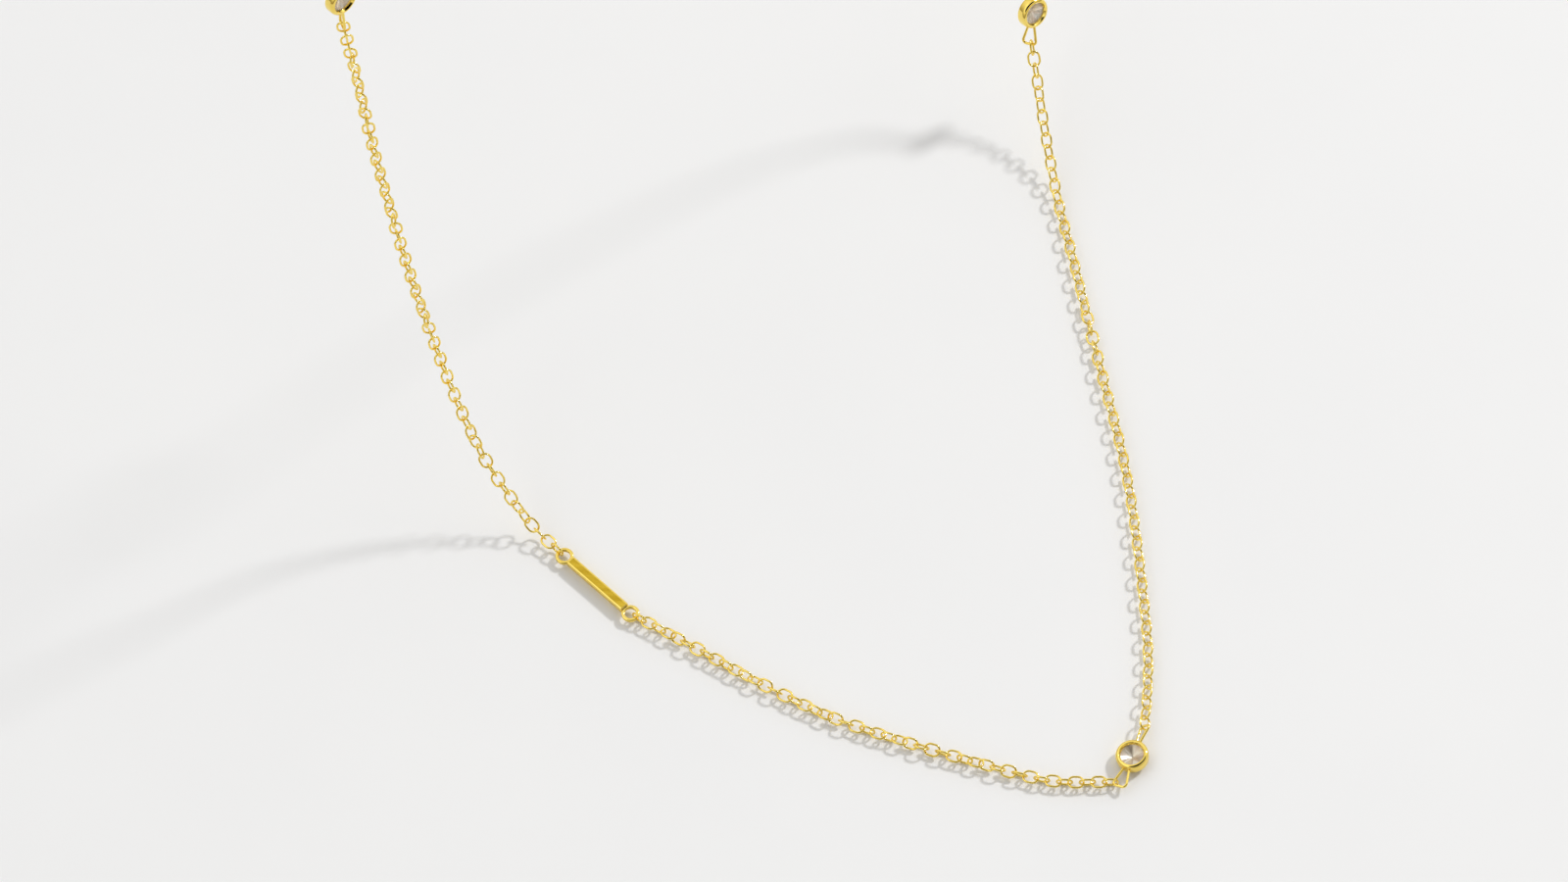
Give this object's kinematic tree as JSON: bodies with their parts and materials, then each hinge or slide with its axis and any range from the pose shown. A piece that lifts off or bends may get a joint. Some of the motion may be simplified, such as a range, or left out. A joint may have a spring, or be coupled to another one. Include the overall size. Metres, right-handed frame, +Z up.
{
  "type": "bar necklace with bezel-set stones",
  "caption": "Fine gold cable-chain necklace with a plain flat bar and round bezel-set stones linked along its front, closed by a plain round clasp.",
  "frame": {"origin": "the top of the chain, where the necklace rests on the back of a neck", "axes": "+Z is up, -Y is toward the viewer of the front, +X runs along the front from the bar toward the front stone; the level surface that the front lies on is at z = -107 mm"},
  "size_m": [0.1018, 0.1187, 0.1079],
  "materials": {
    "gold": "polished",
    "satin_gold": "satin",
    "stone": "polished facets"
  },
  "bodies": {
    "root": {"bar": "satin_gold", "bezel_left": "gold", "bezel_front": "gold", "bezel_right": "gold", "stone_left": "stone", "stone_front": "stone", "stone_right": "stone", "chain_left": "gold", "chain_front": "gold", "chain_right": "gold", "chain_back_left": "gold", "chain_back_right": "gold", "clasp": "gold"}
  },
  "joints": []
}
